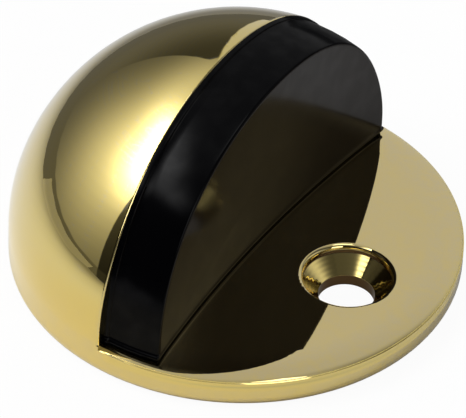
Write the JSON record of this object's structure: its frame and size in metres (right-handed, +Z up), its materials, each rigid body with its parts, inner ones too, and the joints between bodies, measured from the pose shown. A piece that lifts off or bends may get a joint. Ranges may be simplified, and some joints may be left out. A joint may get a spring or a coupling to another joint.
{
  "type": "floor door stop",
  "caption": "Shielded half-dome floor stop: a polished brass hood on a round screw-down plate, with a black rubber buffer across its open front.",
  "frame": {"origin": "on the floor, under the middle of the round base", "axes": "+Z up; the buffer and the fixing hole face -Y, where the door comes from; the closed back of the dome faces +Y; mirror-symmetric about x = 0"},
  "size_m": [0.045, 0.045, 0.0249],
  "materials": {
    "polished_brass": "mirror-polished and lacquered, as cast inside the hollow",
    "black_rubber": "smooth moulded gloss"
  },
  "bodies": {
    "root": {"hooded_base": "polished_brass", "rubber_buffer": "black_rubber"}
  },
  "joints": []
}
